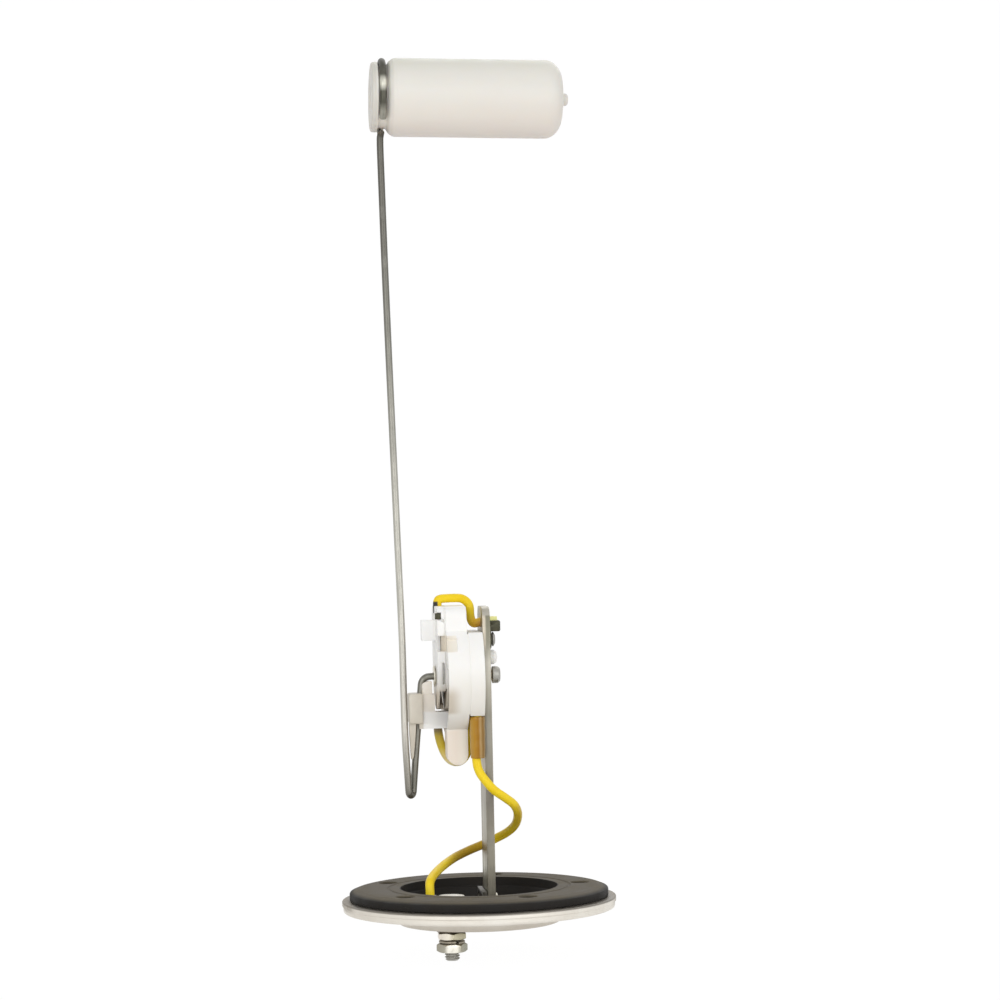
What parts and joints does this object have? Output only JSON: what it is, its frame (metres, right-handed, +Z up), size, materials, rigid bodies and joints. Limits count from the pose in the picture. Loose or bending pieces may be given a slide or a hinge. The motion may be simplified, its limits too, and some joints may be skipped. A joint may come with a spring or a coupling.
{
  "type": "fuel level sender",
  "caption": "Flanged tank sender: a white float on a long bent wire arm turns a lever on a slotted resistor housing carried by a flat stalk.",
  "frame": {"origin": "centre of the mounting plate's lowest face, the outside of its dish", "axes": "+Z up the stalk towards the float, +X along the axle of the float arm away from the arm, -Y the side seen in front in the picture"},
  "size_m": [0.072, 0.072, 0.2358],
  "materials": {
    "cast_metal": "as cast, zinc coated, fine grain",
    "rubber": "matt moulded rubber",
    "zinc_steel": "dull zinc plate with an olive cast",
    "bright_steel": "bright plated, faint straw tint",
    "dark_steel": "blackened",
    "fibre": "dark insulating fibre",
    "white_plastic": "satin moulding, warm white",
    "beige_plastic": "satin moulding, beige grey",
    "float_plastic": "waxy translucent off-white moulding",
    "brass": "rolled strip",
    "card": "brown laminated board",
    "resistance_wire": "fine close winding",
    "yellow_pvc": "smooth insulation",
    "amber_sleeve": "translucent amber tubing"
  },
  "bodies": {
    "root": {"mounting_plate": "cast_metal", "gasket": "rubber", "terminal_stud": "bright_steel", "stud_nut_inner": "bright_steel", "stud_nut_outer": "bright_steel", "spring_washer": "dark_steel", "outer_washer": "fibre", "stud_bush": "fibre", "ring_terminal": "bright_steel", "stalk": "zinc_steel", "stalk_bracket": "bright_steel", "bracket_rivet_1": "bright_steel", "bracket_rivet_2": "bright_steel", "foot_rivet_1": "bright_steel", "foot_rivet_2": "bright_steel", "sensor_housing": "white_plastic", "sensor_base": "white_plastic", "housing_cover": "white_plastic", "front_bush": "bright_steel", "rear_bush": "brass", "resistor_card": "card", "resistance_winding": "resistance_wire", "signal_tag": "brass", "contact_strip": "brass", "earth_terminal": "dark_steel", "fixing_rivet": "dark_steel", "earth_lead": "yellow_pvc", "signal_lead": "yellow_pvc", "lead_sleeve": "amber_sleeve"},
    "arm": {"float_arm": "zinc_steel", "float": "float_plastic", "lever": "beige_plastic", "wiper": "brass", "axle_cap": "dark_steel"}
  },
  "joints": [
    {"name": "arm_swing", "type": "hinge", "parent": "root", "child": "arm", "pos_m": [0, 0, 0.0648], "axis": [-1, 0, 0], "range_deg": [0, 90]}
  ]
}
